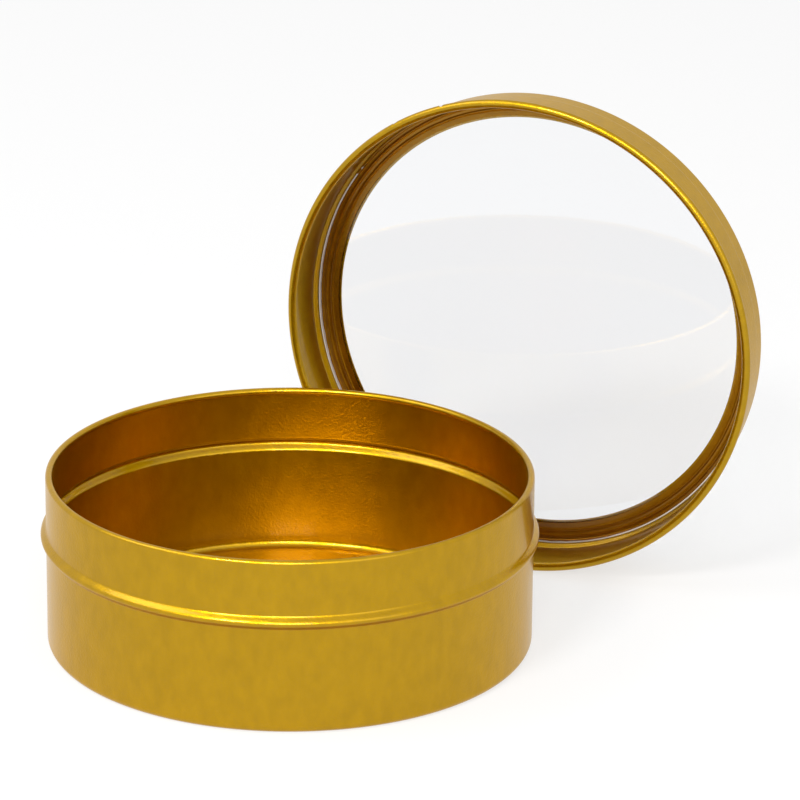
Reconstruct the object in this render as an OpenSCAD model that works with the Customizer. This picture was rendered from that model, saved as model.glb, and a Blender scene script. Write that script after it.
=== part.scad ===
// Round slip-lid tin with a clear window, the lid taken off and stood on its edge behind the base.
// The origin is the middle of the base, on the surface that it stands on. +Z is up the base's axis,
// and the lid's axis runs along Y, with its open side facing the base.

/* [Sheet] */
// Thickness of the tinplate that the base, the lid and the inner ring are pressed from
sheet_t = 0.25; // [0.18:0.01:0.35]

/* [Base] */
// Outside diameter of the base's wall
base_d = 98.4; // [70:0.2:160]
// Height of the base, up to the top of its rolled rim
base_h = 36.1; // [26:0.1:90]
// Outside diameter of the tube that the base's rim is rolled into
base_roll_d = 1.45; // [1.2:0.05:2.2]
// Outside radius of the corner between the wall and the bottom
corner_r = 1.6; // [0.8:0.1:3]
// Width of the flat ring that the base stands on
foot_w = 2.2; // [1.2:0.1:5]
// How far the floor panel is raised above that ring
floor_lift = 0.6; // [0.3:0.05:1.5]

/* [Bead] */
// Height of the plain neck between the base's bead and the top of its rim
neck_h = 11.2; // [8:0.1:18]
// Height of the bead on the wall
bead_h = 3.2; // [2:0.1:5]
// How far the bead stands out from the wall
bead_out = 1.1; // [0.6:0.05:2]

/* [Lid] */
// Clearance all round between the neck and the lid's skirt
neck_clear = 0.25; // [0.12:0.01:0.5]
// Gap that is left between the lid's rim and the bead when the lid is on
rim_gap = 0.6; // [0.2:0.1:2]
// Outside diameter of the tube that the lid's rim is rolled into
lid_roll_d = 1.8; // [1.3:0.05:2.4]
// How far the lid's wall steps in above the skirt
step_in = 0.66; // [0.4:0.02:1.2]
// Height over which the lid's wall steps in
step_h = 1.6; // [1:0.1:3]
// How far the step reaches past the top of the base's rim when the lid is on
step_past = 0.5; // [0.3:0.05:1]
// Height of the lid's shoulder, from the step to the top of the ridge
shoulder_h = 4.2; // [3.4:0.1:8]
// Outside radius of the corner between the shoulder and the ridge
ridge_r = 1.2; // [0.8:0.05:1.6]
// Width of the flat on top of the ridge
ridge_flat = 0.3; // [0.1:0.05:2]
// Outside radius of the ridge's inner corner
ridge_in_r = 1; // [0.6:0.05:1.1]
// How far the window's panel lies below the top of the ridge
panel_drop = 2.2; // [1.6:0.05:2.4]

/* [Window] */
// Width of the panel's lip that carries the window, inside the ridge
lip_w = 2.3; // [2:0.05:5]
// Thickness of the clear disc
disc_t = 0.3; // [0.2:0.05:0.6]
// Clearance round the clear disc, inside the ridge
disc_clear = 0.55; // [0.4:0.05:0.9]

/* [Inner ring] */
// Clearance between the inner ring's wall and the lid's shoulder
ring_clear = 0.07; // [0.03:0.01:0.15]
// How far the inner ring's flange stops short of the edge of the window opening
ring_short = 0.45; // [0.2:0.05:1]
// Height of the two fine ribs pressed into the inner ring's flange
rib_h = 0.14; // [0.08:0.01:0.25]
// Width of each of those ribs
rib_w = 0.8; // [0.6:0.05:1]

/* [Lid taken off] */
// How far to the right of the base's middle the lid stands
lid_aside = 28; // [0:0.5:60]
// Gap between the base's bead and the plane of the lid's rim
lid_gap = 1.25; // [0.6:0.05:20]

/* [Hidden] */

// Degrees that a rim is rolled through, and the angle where its free end stops
roll_turn = 285;
// Straight steps in a whole turn of a profile's arc, and in one bead, rib or step
arc_steps = 20;
wave_steps = 8;
// Facets round the revolved pieces
round_fn = 40;

// Radii of the sheet's middle line, at the base's wall and the lid's skirt and shoulder
wall_mid = base_d / 2 - sheet_t / 2;
skirt_mid = base_d / 2 + neck_clear + sheet_t / 2;
shoulder_mid = skirt_mid - step_in;

// Heights in the base
bead_mid = base_h - neck_h - bead_h / 2;
floor_mid = floor_lift + sheet_t / 2;
// The floor rises from the ring over a slope as wide as twice its lift
foot_in = wall_mid + sheet_t / 2 - corner_r - foot_w;
slope_w = 2 * floor_lift;

// Depths in the lid, measured from the plane of its rim
seat_depth = neck_h - rim_gap;
step_end = seat_depth + step_past;
lid_h = step_end + shoulder_h;
lid_out = skirt_mid - sheet_t / 2 + lid_roll_d;
panel_mid = lid_h - panel_drop - sheet_t / 2;
panel_face = panel_mid - sheet_t / 2;

// Ridge, window opening, disc and inner ring
bend_mid = 0.5;
drop_mid = shoulder_mid - ridge_flat - ridge_r - ridge_in_r + sheet_t;
drop_in = drop_mid - sheet_t / 2;
opening_r = drop_in - lip_w;
disc_r = drop_in - disc_clear;
ring_mid = shoulder_mid - sheet_t - ring_clear;
flange_mid = panel_face - disc_t - sheet_t / 2;
flange_in = opening_r + ring_short;

// Points on an arc, from one angle to another either way round
function arc(c, r, from, to) =
    let (n = max(2, ceil(abs(to - from) / 360 * arc_steps)))
    [for (i = [0:n]) let (a = from + (to - from) * i / n) c + r * [cos(a), sin(a)]];

// A smooth swell from 0 up to 1 and back, and a smooth rise from 0 to 1
function swell(t) = (1 - cos(360 * t)) / 2;
function rise(t) = (1 - cos(180 * t)) / 2;
function inner_steps(n) = [for (i = [1:n - 1]) i / n];

// Sheet metal of an even thickness, from the middle line of its section
function unit(v) = v / norm(v);
function left_of(v) = [-v[1], v[0]];
function mitre(p, i) =
    let (
        last = len(p) - 1,
        b = left_of(unit(i < last ? p[i + 1] - p[i] : p[i] - p[i - 1])),
        a = left_of(unit(i > 0 ? p[i] - p[i - 1] : p[i + 1] - p[i])),
        m = unit(a + b)
    )
    m / (m * b);
function sheet(p) = concat(
    [for (i = [0:len(p) - 1]) p[i] + mitre(p, i) * sheet_t / 2],
    [for (i = [len(p) - 1:-1:0]) p[i] - mitre(p, i) * sheet_t / 2]
);

// Section of the base, from the middle of its floor out, up and round the rolled rim
function base_line() =
    let (
        bend = corner_r - sheet_t / 2,
        roll = (base_roll_d - sheet_t) / 2,
        roll_z = base_h - base_roll_d / 2
    )
    concat(
        [[0, floor_mid], [foot_in - slope_w, floor_mid]],
        [for (t = inner_steps(4)) [foot_in - slope_w * (1 - t), sheet_t / 2 + floor_lift * (1 - rise(t))]],
        [[foot_in, sheet_t / 2]],
        arc([wall_mid - bend, sheet_t / 2 + bend], bend, 270, 360),
        [[wall_mid, bead_mid - bead_h / 2]],
        [for (t = inner_steps(wave_steps)) [wall_mid + bead_out * swell(t), bead_mid + bead_h * (t - 0.5)]],
        [[wall_mid, bead_mid + bead_h / 2]],
        arc([wall_mid - roll, roll_z], roll, 0, roll_turn)
    );

// Section of the lid, from the free end of its rolled rim, up the skirt and in to the window opening
function lid_line() =
    let (
        roll = (lid_roll_d - sheet_t) / 2,
        bend = ridge_r - sheet_t / 2,
        top = lid_h - sheet_t / 2,
        drop_bend = ridge_in_r - sheet_t / 2,
        step_z = step_end - step_h
    )
    concat(
        arc([skirt_mid + roll, lid_roll_d / 2], roll, 180 + roll_turn, 180),
        [for (t = inner_steps(wave_steps)) [skirt_mid - step_in * rise(t), step_z + step_h * t]],
        [[shoulder_mid, step_end]],
        arc([shoulder_mid - bend, top - bend], bend, 0, 90),
        arc([drop_mid + drop_bend, top - drop_bend], drop_bend, 90, 180),
        arc([drop_mid - bend_mid, panel_mid + bend_mid], bend_mid, 0, -90),
        [[opening_r, panel_mid]]
    );

// Section of the inner ring, from its raw cut edge down its wall and in along its ribbed flange
function ring_line() =
    let (
        bend = 0.35,
        flange_w = ring_mid - bend - flange_in,
        rib_at = [for (share = [0.78, 0.42]) flange_in + flange_w * share]
    )
    concat(
        [[ring_mid, step_end]],
        arc([ring_mid - bend, flange_mid - bend], bend, 0, 90),
        [for (r = rib_at, t = concat([0], inner_steps(4), [1]))
            [r + rib_w * (0.5 - t), flange_mid - rib_h * swell(t)]],
        [[flange_in, flange_mid]]
    );

module revolved(points) {
    rotate_extrude($fn = round_fn) polygon(points);
}

// The lid and what it holds, stood on edge behind the base with the open side towards it
module stood_lid() {
    translate([lid_aside, base_d / 2 + bead_out + lid_gap, lid_out]) rotate([-90, 0, 0]) children();
}

module base_cup() {
    color("goldenrod") revolved(sheet(base_line()));
}

module lid_shell() {
    color("darkgoldenrod") stood_lid() revolved(sheet(lid_line()));
}

module window_disc() {
    color("aliceblue") stood_lid()
        translate([0, 0, panel_face - disc_t]) cylinder(r = disc_r, h = disc_t, $fn = round_fn);
}

module retaining_ring() {
    color("peru") stood_lid() revolved(sheet(ring_line()));
}

base_cup();
lid_shell();
window_disc();
retaining_ring();
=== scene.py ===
from math import cos, pi, radians, sin

import bmesh
import bpy
from mathutils import Matrix, Vector


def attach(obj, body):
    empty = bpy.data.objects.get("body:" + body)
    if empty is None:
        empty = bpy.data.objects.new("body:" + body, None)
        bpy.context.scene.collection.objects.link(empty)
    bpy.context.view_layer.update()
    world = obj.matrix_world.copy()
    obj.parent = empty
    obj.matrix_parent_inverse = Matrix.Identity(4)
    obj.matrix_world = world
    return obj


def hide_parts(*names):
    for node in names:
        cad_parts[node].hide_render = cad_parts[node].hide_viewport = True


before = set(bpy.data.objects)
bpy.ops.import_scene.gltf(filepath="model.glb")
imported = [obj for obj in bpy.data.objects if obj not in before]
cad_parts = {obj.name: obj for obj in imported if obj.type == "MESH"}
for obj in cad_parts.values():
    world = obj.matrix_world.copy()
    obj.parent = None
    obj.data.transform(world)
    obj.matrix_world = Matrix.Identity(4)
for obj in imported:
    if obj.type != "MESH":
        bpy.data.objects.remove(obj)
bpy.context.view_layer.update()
mm = 0.001

# Real sizes in millimetres, the same as the construction model's
sheetThick = 0.25

smooth = {
    "turnSteps": 288,
    "arcSteps": 72,
    "waveSteps": 24,
    "pathRadius": 10.0,  # of the circle that a section is swept along
    "weld": 0.002,
    "sliver": 0.0005,
    "sharpAngle": 40,
}


def arc(centre, radius, start, end):
    count = max(2, round(abs(end - start) / 360 * smooth["arcSteps"]))
    angles = [radians(start + (end - start) * i / count) for i in range(count + 1)]
    return [Vector((centre[0] + radius * cos(a), centre[1] + radius * sin(a))) for a in angles]


# A smooth bump out and back, and a smooth step, for t from 0 to 1
def swell(t):
    return (1 - cos(2 * pi * t)) / 2


def rise(t):
    return (1 - cos(pi * t)) / 2


def innerSteps(count):
    return [i / count for i in range(1, count)]


# The base: one drawn cup with a rolled rim and a bead under its neck
base = {
    "wallDiameter": 98.4,
    "height": 36.1,
    "rollDiameter": 1.45,
    "rollTurn": 285,  # degrees of the rim's roll, from the wall's outside
    "cornerRadius": 1.6,
    "footWidth": 2.2,  # of the standing ring under the floor
    "floorLift": 0.6,
    "neckHeight": 11.2,
    "beadHeight": 3.2,
    "beadOut": 1.1,
}

wallMid = base["wallDiameter"] / 2 - sheetThick / 2
beadMid = base["height"] - base["neckHeight"] - base["beadHeight"] / 2


# The middle line of the sheet, as distances from the axis and heights, as in the lid's and the ring's lines
def baseLine():
    bend = base["cornerRadius"] - sheetThick / 2
    roll = (base["rollDiameter"] - sheetThick) / 2
    rollZ = base["height"] - base["rollDiameter"] / 2
    footIn = wallMid + sheetThick / 2 - base["cornerRadius"] - base["footWidth"]
    slope = 2 * base["floorLift"]  # the floor's slope is as wide as twice its lift
    floorMid = base["floorLift"] + sheetThick / 2
    points = [Vector((0, floorMid)), Vector((footIn - slope, floorMid))]
    points += [Vector((footIn - slope * (1 - t), sheetThick / 2 + base["floorLift"] * (1 - rise(t))))
               for t in innerSteps(smooth["waveSteps"] // 2)]
    points += [Vector((footIn, sheetThick / 2))]
    points += arc((wallMid - bend, sheetThick / 2 + bend), bend, 270, 360)
    points += [Vector((wallMid, beadMid - base["beadHeight"] / 2))]
    points += [Vector((wallMid + base["beadOut"] * swell(t), beadMid + base["beadHeight"] * (t - 0.5)))
               for t in innerSteps(smooth["waveSteps"])]
    points += [Vector((wallMid, beadMid + base["beadHeight"] / 2))]
    points += arc((wallMid - roll, rollZ), roll, 0, base["rollTurn"])
    return points


# The lid's shell: a curled rim, a step inwards, a ridge round the top and a sunk panel with the opening
lid = {
    "neckClear": 0.25,
    "rimGap": 0.6,  # left between the curl and the bead when the lid is on
    "rollDiameter": 1.8,
    "stepIn": 0.66,
    "stepHeight": 1.6,
    "stepPast": 0.5,  # the step ends this far past the base's rim
    "shoulderHeight": 4.2,
    "ridgeRadius": 1.2,
    "ridgeFlat": 0.3,
    "ridgeInnerRadius": 1.0,
    "panelDrop": 2.2,
    "panelBend": 0.5,
    "lipWidth": 2.3,
    "aside": 28.0,  # where the lid stands, to the right of the base's middle
    "gapBehindBead": 1.25,
}

skirtMid = base["wallDiameter"] / 2 + lid["neckClear"] + sheetThick / 2
shoulderMid = skirtMid - lid["stepIn"]
stepEnd = base["neckHeight"] - lid["rimGap"] + lid["stepPast"]
lidHeight = stepEnd + lid["shoulderHeight"]
lidOut = skirtMid - sheetThick / 2 + lid["rollDiameter"]
rimPlane = base["wallDiameter"] / 2 + base["beadOut"] + lid["gapBehindBead"]
panelMid = lidHeight - lid["panelDrop"] - sheetThick / 2
panelFace = panelMid - sheetThick / 2
dropMid = shoulderMid - lid["ridgeFlat"] - lid["ridgeRadius"] - lid["ridgeInnerRadius"] + sheetThick
openingRadius = dropMid - sheetThick / 2 - lid["lipWidth"]


def lidLine():
    roll = (lid["rollDiameter"] - sheetThick) / 2
    bend = lid["ridgeRadius"] - sheetThick / 2
    dropBend = lid["ridgeInnerRadius"] - sheetThick / 2
    top = lidHeight - sheetThick / 2
    stepStart = stepEnd - lid["stepHeight"]
    points = arc((skirtMid + roll, lid["rollDiameter"] / 2), roll, 180 + base["rollTurn"], 180)
    points += [Vector((skirtMid, stepStart))]
    points += [Vector((skirtMid - lid["stepIn"] * rise(t), stepStart + lid["stepHeight"] * t))
               for t in innerSteps(smooth["waveSteps"])]
    points += [Vector((shoulderMid, stepEnd))]
    points += arc((shoulderMid - bend, top - bend), bend, 0, 90)
    points += arc((dropMid + dropBend, top - dropBend), dropBend, 90, 180)
    points += arc((dropMid - lid["panelBend"], panelMid + lid["panelBend"]), lid["panelBend"], 0, -90)
    points += [Vector((openingRadius, panelMid))]
    return points


# The clear disc behind the opening
window = {"thick": 0.3, "clear": 0.55, "offLip": 0.03}


def discLine():
    radius = dropMid - sheetThick / 2 - window["clear"]
    near = panelFace - window["thick"]
    far = panelFace - window["offLip"]  # a hair off the lip, so that the two faces stay apart
    return [Vector((0, near)), Vector((radius, near)), Vector((radius, far)), Vector((0, far))]


# The ring that holds the disc, with two pressed ribs on its flange
ring = {
    "clear": 0.07,
    "short": 0.45,  # the flange ends this far outside the opening
    "bend": 0.35,
    "ribHeight": 0.14,
    "ribWidth": 0.8,
    "ribShares": (0.78, 0.42),  # of the flange's width, outer rib first
}

ringMid = shoulderMid - sheetThick - ring["clear"]


def ringLine():
    flangeMid = panelFace - window["thick"] - sheetThick / 2
    flangeIn = openingRadius + ring["short"]
    flangeWidth = ringMid - ring["bend"] - flangeIn
    points = [Vector((ringMid, stepEnd))]
    points += arc((ringMid - ring["bend"], flangeMid - ring["bend"]), ring["bend"], 0, 90)
    for share in ring["ribShares"]:
        ribAt = flangeIn + flangeWidth * share
        points += [Vector((ribAt + ring["ribWidth"] * (0.5 - t), flangeMid - ring["ribHeight"] * swell(t)))
                   for t in [0, *innerSteps(smooth["waveSteps"] // 2), 1]]
    points += [Vector((flangeIn, flangeMid))]
    return points


# Gives a line the sheet's even thickness, half to each side
def sheetSection(line):
    shifts = []
    for i in range(len(line)):
        ahead = (line[i + 1] - line[i]) if i < len(line) - 1 else (line[i] - line[i - 1])
        behind = (line[i] - line[i - 1]) if i > 0 else ahead
        a, b = behind.normalized(), ahead.normalized()
        sideA, sideB = Vector((-a.y, a.x)), Vector((-b.y, b.x))
        bisector = (sideA + sideB).normalized()
        shifts.append(bisector / bisector.dot(sideB) * sheetThick / 2)
    left = [p + s for p, s in zip(line, shifts)]
    right = [p - s for p, s in zip(line, shifts)]
    return left + right[::-1]


# Every pressed piece is round, so one tree turns each section about the axis
def latheTree():
    tree = bpy.data.node_groups.new("turnedSection", "GeometryNodeTree")
    sockets = {}
    for label, kind in (("Section", "Geometry"), ("Turn Steps", "Int"), ("Path Radius", "Float"),
                        ("Weld Distance", "Float"), ("Finish", "Material")):
        socket = tree.interface.new_socket(label, in_out="INPUT", socket_type="NodeSocket" + kind)
        sockets[label] = socket.identifier
    tree.interface.new_socket("Turned Piece", in_out="OUTPUT", socket_type="NodeSocketGeometry")
    nodes, links = tree.nodes, tree.links
    given = nodes.new("NodeGroupInput")
    made = nodes.new("NodeGroupOutput")
    section = nodes.new("GeometryNodeMeshToCurve")
    path = nodes.new("GeometryNodeCurvePrimitiveCircle")
    sweep = nodes.new("GeometryNodeCurveToMesh")
    weld = nodes.new("GeometryNodeMergeByDistance")
    realize = nodes.new("GeometryNodeRealizeInstances")
    finish = nodes.new("GeometryNodeSetMaterial")
    links.new(given.outputs["Section"], section.inputs["Mesh"])
    links.new(given.outputs["Turn Steps"], path.inputs["Resolution"])
    links.new(given.outputs["Path Radius"], path.inputs["Radius"])
    links.new(path.outputs["Curve"], sweep.inputs["Curve"])
    links.new(section.outputs["Curve"], sweep.inputs["Profile Curve"])
    links.new(sweep.outputs["Mesh"], weld.inputs["Geometry"])
    links.new(given.outputs["Weld Distance"], weld.inputs["Distance"])
    links.new(weld.outputs["Geometry"], realize.inputs["Geometry"])
    links.new(realize.outputs["Geometry"], finish.inputs["Geometry"])
    links.new(given.outputs["Finish"], finish.inputs["Material"])
    links.new(finish.outputs["Geometry"], made.inputs["Turned Piece"])
    return tree, sockets


# A section's points are laid flat, as far from the path as they are from the axis
def flatSection(name, section):
    points = [((p.x - smooth["pathRadius"]) * mm, -p.y * mm, 0) for p in section]
    edges = [(i, i + 1) for i in range(len(section) - 1)]
    meetsAxis = min(p.x for p in section) < smooth["weld"]
    if not meetsAxis:
        edges.append((len(section) - 1, 0))
    mesh = bpy.data.meshes.new(name)
    mesh.from_pydata(points, edges, [])
    return mesh


def pointOutwards(mesh):
    shell = bmesh.new()
    shell.from_mesh(mesh)
    bmesh.ops.dissolve_degenerate(shell, dist=smooth["sliver"] * mm, edges=shell.edges)
    bmesh.ops.recalc_face_normals(shell, faces=shell.faces)
    shell.to_mesh(mesh)
    shell.free()


def turned(name, section, place, material):
    tree, sockets = lathe
    outline = flatSection(name, section)
    piece = bpy.data.objects.new(name, outline)
    bpy.context.scene.collection.objects.link(piece)
    turning = piece.modifiers.new("turning", "NODES")
    turning.node_group = tree
    turning[sockets["Turn Steps"]] = smooth["turnSteps"]
    turning[sockets["Path Radius"]] = smooth["pathRadius"] * mm
    turning[sockets["Weld Distance"]] = smooth["weld"] * mm
    turning[sockets["Finish"]] = material
    graph = bpy.context.evaluated_depsgraph_get()
    mesh = bpy.data.meshes.new_from_object(piece.evaluated_get(graph))
    piece.modifiers.clear()
    piece.data = mesh
    bpy.data.meshes.remove(outline)
    mesh.name = name
    mesh.transform(place)
    pointOutwards(mesh)
    mesh.shade_smooth()
    mesh.set_sharp_from_angle(angle=radians(smooth["sharpAngle"]))
    return piece


def principled(name, colour, metallic, roughness):
    material = bpy.data.materials.new(name)
    material.use_nodes = True
    shader = material.node_tree.nodes["Principled BSDF"]
    shader.inputs["Base Color"].default_value = (*colour, 1)
    shader.inputs["Metallic"].default_value = metallic
    shader.inputs["Roughness"].default_value = roughness
    return material, material.node_tree, shader


def objectPlace(tree):
    return tree.nodes.new("ShaderNodeTexCoord").outputs["Object"]


def noiseAt(tree, place, scale, detail):
    noise = tree.nodes.new("ShaderNodeTexNoise")
    noise.inputs["Scale"].default_value = scale
    noise.inputs["Detail"].default_value = detail
    tree.links.new(place, noise.inputs["Vector"])
    return noise.outputs["Fac"]


def mapped(tree, value, given, wanted):
    spread = tree.nodes.new("ShaderNodeMapRange")
    spread.inputs["From Min"].default_value = given[0]
    spread.inputs["From Max"].default_value = given[1]
    spread.inputs["To Min"].default_value = wanted[0]
    spread.inputs["To Max"].default_value = wanted[1]
    tree.links.new(value, spread.inputs["Value"])
    return spread.outputs["Result"]


def combined(tree, operation, first, second):
    maths = tree.nodes.new("ShaderNodeMath")
    maths.operation = operation
    tree.links.new(first, maths.inputs[0])
    tree.links.new(second, maths.inputs[1])
    return maths.outputs["Value"]


# Tinplate under a satin gold lacquer: a fine orange-peel grain and faint long blotches
lacquer = {
    "base": (0.49, 0.278, 0.001),
    "lid": (0.46, 0.265, 0.002),
    "ring": (0.33, 0.155, 0.006),
    "edgeTint": (1.0, 0.86, 0.62),
    "coat": 0.36,
    "coatRough": 0.08,
    "deep": 0.88,  # the blotches' share of the colour
    "rough": (0.28, 0.36),
    "blotchScale": 420,
    "blotchDetail": 3,
    "blotchLong": 0.55,  # the pattern's scale along the piece's axis
    "blotchFade": (0.3, 0.7),
    "grainScale": 1900,
    "grainDetail": 2,
    "grainStrength": 0.3,
    "grainDepth": 0.2,
}


def goldLacquer(name, colour, upAxis):
    material, tree, shader = principled(name, colour, 1, lacquer["rough"][0])
    nodes, links = tree.nodes, tree.links
    shader.inputs["Specular Tint"].default_value = (*lacquer["edgeTint"], 1)
    shader.inputs["Coat Weight"].default_value = lacquer["coat"]
    shader.inputs["Coat Roughness"].default_value = lacquer["coatRough"]
    place = objectPlace(tree)
    stretch = nodes.new("ShaderNodeMapping")
    stretch.inputs["Scale"].default_value[upAxis] = lacquer["blotchLong"]
    links.new(place, stretch.inputs["Vector"])
    blotch = noiseAt(tree, stretch.outputs["Vector"], lacquer["blotchScale"], lacquer["blotchDetail"])
    ramp = nodes.new("ShaderNodeValToRGB")
    deep, full = ramp.color_ramp.elements
    deep.position, full.position = lacquer["blotchFade"]
    deep.color = (*(c * lacquer["deep"] for c in colour), 1)
    full.color = (*colour, 1)
    links.new(blotch, ramp.inputs["Fac"])
    links.new(ramp.outputs["Color"], shader.inputs["Base Color"])
    links.new(mapped(tree, blotch, (0, 1), lacquer["rough"]), shader.inputs["Roughness"])
    bump = nodes.new("ShaderNodeBump")
    bump.inputs["Strength"].default_value = lacquer["grainStrength"]
    bump.inputs["Distance"].default_value = lacquer["grainDepth"] * mm
    links.new(noiseAt(tree, place, lacquer["grainScale"], lacquer["grainDetail"]), bump.inputs["Height"])
    links.new(bump.outputs["Normal"], shader.inputs["Normal"])
    return material


# The raw cut edge of the ring shows bare tin, ragged where the lacquer flaked
bareEdge = {
    "colour": (0.72, 0.73, 0.76),
    "metal": 0.4,
    "depth": 0.3,
    "leftDepth": 0.4,
    "left": (12, -16),  # places across, between which the left's depth is added
    "fade": (66, 84),  # heights, between which the lacquer becomes whole
    "ragged": 0.2,
    "flakeScale": 300,
    "flakeDetail": 3,
    "flakeSpread": (0.3, 0.7),
}


# Turns a lacquer into bare tin where the value is 1
def showTin(material, bare):
    tree = material.node_tree
    shader = tree.nodes["Principled BSDF"]
    mix = tree.nodes.new("ShaderNodeMix")
    mix.data_type = "RGBA"
    mix.inputs["B"].default_value = (*bareEdge["colour"], 1)
    tree.links.new(bare, mix.inputs["Factor"])
    tree.links.new(shader.inputs["Base Color"].links[0].from_socket, mix.inputs["A"])
    tree.links.new(mix.outputs["Result"], shader.inputs["Base Color"])
    tree.links.new(mapped(tree, bare, (0, 1), (1, bareEdge["metal"])), shader.inputs["Metallic"])


def bareTin(material, edgePlane):
    tree = material.node_tree
    place = objectPlace(tree)
    split = tree.nodes.new("ShaderNodeSeparateXYZ")
    tree.links.new(place, split.inputs["Vector"])
    across, along, up = split.outputs
    middle = edgePlane + bareEdge["depth"]
    band = ((middle - bareEdge["ragged"]) * mm, (middle + bareEdge["ragged"]) * mm)
    flake = mapped(tree, noiseAt(tree, place, bareEdge["flakeScale"], bareEdge["flakeDetail"]),
                   bareEdge["flakeSpread"], band)
    leftward = mapped(tree, across, [x * mm for x in bareEdge["left"]], (0, bareEdge["leftDepth"] * mm))
    widest = bareEdge["depth"] + bareEdge["leftDepth"] + bareEdge["ragged"]
    whole = mapped(tree, up, [z * mm for z in bareEdge["fade"]], (0, widest * mm))
    reach = combined(tree, "SUBTRACT", combined(tree, "ADD", flake, leftward), whole)
    showTin(material, combined(tree, "LESS_THAN", along, reach))


# Two small nicks on the outside of the lid's curl, at degrees round the rim
nicks = {"angles": (122.25, 109.6), "reach": 0.84, "scale": 1200, "detail": 2}


def nickedCurl(material):
    tree = material.node_tree
    place = objectPlace(tree)
    nearest = None
    for angle in nicks["angles"]:
        across, up = lidOut * cos(radians(angle)), lidOut * sin(radians(angle))
        gap = tree.nodes.new("ShaderNodeVectorMath")
        gap.operation = "DISTANCE"
        gap.inputs[1].default_value = stood @ (Vector((across, -up, lid["rollDiameter"] / 2)) * mm)
        tree.links.new(place, gap.inputs[0])
        distance = gap.outputs["Value"]
        nearest = distance if nearest is None else combined(tree, "MINIMUM", nearest, distance)
    ragged = noiseAt(tree, place, nicks["scale"], nicks["detail"])
    reach = mapped(tree, ragged, (0, 1), (0, nicks["reach"] * mm))
    showTin(material, combined(tree, "LESS_THAN", nearest, reach))


plastic = {"colour": (0.94, 0.945, 0.955), "rough": 0.02, "refraction": 1.45}


def clearPlastic():
    material, _, shader = principled("clearWindow", plastic["colour"], 0, plastic["rough"])
    shader.inputs["Transmission Weight"].default_value = 1
    shader.inputs["IOR"].default_value = plastic["refraction"]
    return material


# The base stands upright, and the lid on its curl with its open side towards the base
upright = Matrix.Identity(4)
stood = (Matrix.Translation(Vector((lid["aside"], rimPlane, lidOut)) * mm)
         @ Matrix.Rotation(radians(-90), 4, "X"))

lathe = latheTree()
gold = goldLacquer("goldLacquer", lacquer["base"], 2)
lidGold = goldLacquer("lidLacquer", lacquer["lid"], 1)
ringGold = goldLacquer("ringLacquer", lacquer["ring"], 1)
bareTin(ringGold, rimPlane + stepEnd)
nickedCurl(lidGold)
glass = clearPlastic()

cup = turned("base_cup_pressed", sheetSection(baseLine()), upright, gold)
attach(cup, "base")
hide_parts("base_cup")
print("stage: base pressed")

shellPiece = turned("lid_shell_pressed", sheetSection(lidLine()), stood, lidGold)
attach(shellPiece, "lid")
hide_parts("lid_shell")

ringPiece = turned("retaining_ring_pressed", sheetSection(ringLine()), stood, ringGold)
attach(ringPiece, "lid")
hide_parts("retaining_ring")

disc = turned("window_disc_clear", discLine(), stood, glass)
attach(disc, "lid")
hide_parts("window_disc")
print("stage: lid, ring and window pressed")

# The camera's place and turns, in millimetres and degrees
camera = {
    "side": 375.1,
    "back": 861.1,
    "up": 396.1,
    "heading": 22.2,
    "pitch": 20.16,
    "roll": 0.54,
    "lens": 225,
    "sensor": 36,
    "sight": 20000,
}

cameraData = bpy.data.cameras.new("camera")
cameraData.lens = camera["lens"]
cameraData.sensor_width = camera["sensor"]
cameraData.clip_end = camera["sight"] * mm
cameraObject = bpy.data.objects.new("camera", cameraData)
cameraPlace = Vector((camera["side"], -camera["back"], camera["up"])) * mm
cameraObject.matrix_world = (Matrix.Translation(cameraPlace)
                             @ Matrix.Rotation(radians(camera["heading"]), 4, "Z")
                             @ Matrix.Rotation(radians(90 - camera["pitch"]), 4, "X")
                             @ Matrix.Rotation(radians(camera["roll"]), 4, "Z"))
bpy.context.scene.collection.objects.link(cameraObject)
bpy.context.scene.camera = cameraObject


# 1 for rays from the camera, also through the window and off the lacquer
def seenRays(tree):
    path = tree.nodes.new("ShaderNodeLightPath")
    seen = path.outputs["Is Camera Ray"]
    for kind in ("Is Glossy Ray", "Is Transmission Ray"):
        seen = combined(tree, "MAXIMUM", seen, path.outputs[kind])
    return seen


# The white surroundings look brighter than the light that they give
stage = {"half": 6, "colour": 0.94, "rough": 0.9, "glow": 0.66, "world": 0.53, "backdrop": 1.0}


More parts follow.
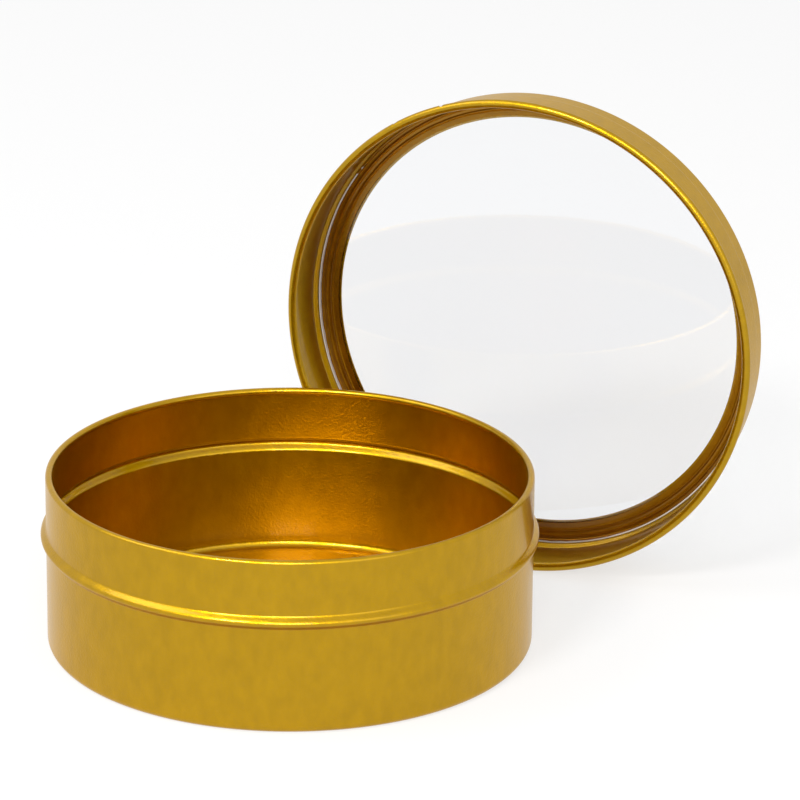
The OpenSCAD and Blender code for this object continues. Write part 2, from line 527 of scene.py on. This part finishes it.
def paleFloor():
    mesh = bpy.data.meshes.new("floor")
    half = stage["half"]
    corners = [(-half, -half, 0), (half, -half, 0), (half, half, 0), (-half, half, 0)]
    mesh.from_pydata(corners, [], [(0, 1, 2, 3)])
    floor = bpy.data.objects.new("floor", mesh)
    bpy.context.scene.collection.objects.link(floor)
    material, tree, shader = principled("paleFloor", [stage["colour"]] * 3, 0, stage["rough"])
    nodes, links = tree.nodes, tree.links
    glow = nodes.new("ShaderNodeEmission")
    glow.inputs["Color"].default_value = (1, 1, 1, 1)
    mix = nodes.new("ShaderNodeMixShader")
    links.new(mapped(tree, seenRays(tree), (0, 1), (0, stage["glow"])), mix.inputs["Fac"])
    links.new(shader.outputs["BSDF"], mix.inputs[1])
    links.new(glow.outputs["Emission"], mix.inputs[2])
    links.new(mix.outputs["Shader"], nodes["Material Output"].inputs["Surface"])
    mesh.materials.append(material)


def whiteWorld():
    world = bpy.data.worlds.new("world")
    bpy.context.scene.world = world
    world.use_nodes = True
    tree = world.node_tree
    background = tree.nodes["Background"]
    background.inputs["Color"].default_value = (1, 1, 1, 1)
    level = mapped(tree, seenRays(tree), (0, 1), (stage["world"], stage["backdrop"]))
    tree.links.new(level, background.inputs["Strength"])


# Soft rectangular lights: places, aims and sizes in metres, power in watts
lights = {
    "keyLight": {"place": (-0.12, -0.92, 0.92), "aim": (0, 0, 0.02), "size": (0.32, 0.2), "power": 7.5},
    "frontLight": {"place": (0.58, -1.42, 0.98), "aim": (0, 0, 0.03), "size": (0.65, 0.8), "power": 13.5},
    "leftLight": {"place": (-0.6, -0.3, 0.8), "aim": (0, 0, 0.02), "size": (0.5, 0.5), "power": 2.2},
    "fillLight": {"place": (0.9, -0.5, 0.5), "aim": (0, 0, 0.03), "size": (0.5, 0.8), "power": 1.2},
}


def softLight(name, light):
    data = bpy.data.lights.new(name, "AREA")
    data.shape = "RECTANGLE"
    data.size, data.size_y = light["size"]
    data.energy = light["power"]
    lamp = bpy.data.objects.new(name, data)
    lamp.location = light["place"]
    towards = Vector(light["aim"]) - Vector(light["place"])
    lamp.rotation_euler = towards.to_track_quat("-Z", "Y").to_euler()
    bpy.context.scene.collection.objects.link(lamp)


paleFloor()
whiteWorld()
for lightName, light in lights.items():
    softLight(lightName, light)

bpy.context.scene.view_settings.view_transform = "Standard"
print("stage: camera, floor and lights set")
